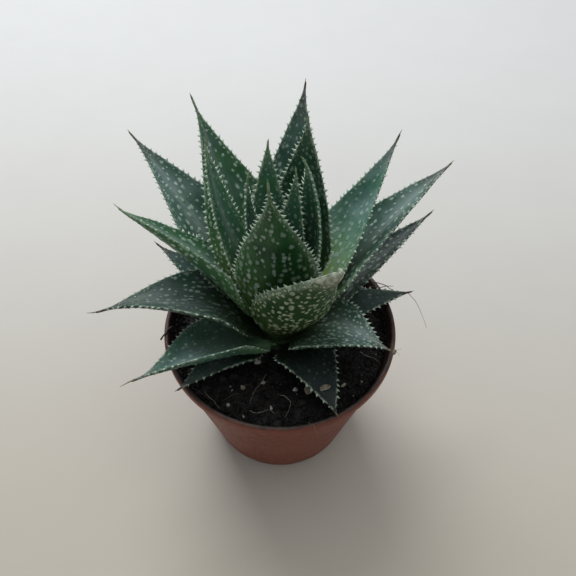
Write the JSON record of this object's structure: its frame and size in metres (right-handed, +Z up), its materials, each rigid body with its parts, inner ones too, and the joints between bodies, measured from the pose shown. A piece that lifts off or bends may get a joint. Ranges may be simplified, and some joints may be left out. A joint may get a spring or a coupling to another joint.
{
  "type": "potted gasteria",
  "caption": "Rosette of thick, folded, spotted leaves with toothed edges on a short stem, growing in soil in a small tapered nursery pot.",
  "frame": {"origin": "middle of the pot's base, on the surface it stands on", "axes": "+Z up along the pot's axis; -Y towards the side the picture was taken from; +X to the right seen from there"},
  "size_m": [0.13, 0.1117, 0.1542],
  "materials": {
    "pot_plastic": "matt moulded terracotta-coloured plastic",
    "soil": "moist dark peat with perlite grains",
    "stem": "pale green living stem",
    "leaf_outer": "waxy dark green with a blue-grey bloom, pale raised spots and a whitish toothed edge",
    "leaf_middle": "waxy dark green with pale raised spots and a whitish toothed edge",
    "leaf_inner": "waxy fresh green with pale raised spots and a whitish toothed edge"
  },
  "bodies": {
    "root": {"pot": "pot_plastic", "soil": "soil", "stem": "stem", "leaf_01": "leaf_outer", "leaf_02": "leaf_outer", "leaf_03": "leaf_outer", "leaf_04": "leaf_outer", "leaf_05": "leaf_outer", "leaf_06": "leaf_outer", "leaf_07": "leaf_outer", "leaf_08": "leaf_outer", "leaf_09": "leaf_outer", "leaf_10": "leaf_outer", "leaf_11": "leaf_outer", "leaf_12": "leaf_outer", "leaf_13": "leaf_outer", "leaf_14": "leaf_outer", "leaf_15": "leaf_middle", "leaf_16": "leaf_middle", "leaf_17": "leaf_middle", "leaf_18": "leaf_middle", "leaf_19": "leaf_middle", "leaf_20": "leaf_inner", "leaf_21": "leaf_inner", "leaf_22": "leaf_inner", "leaf_23": "leaf_inner", "leaf_24": "leaf_inner", "leaf_25": "leaf_inner", "leaf_26": "leaf_inner"}
  },
  "joints": []
}
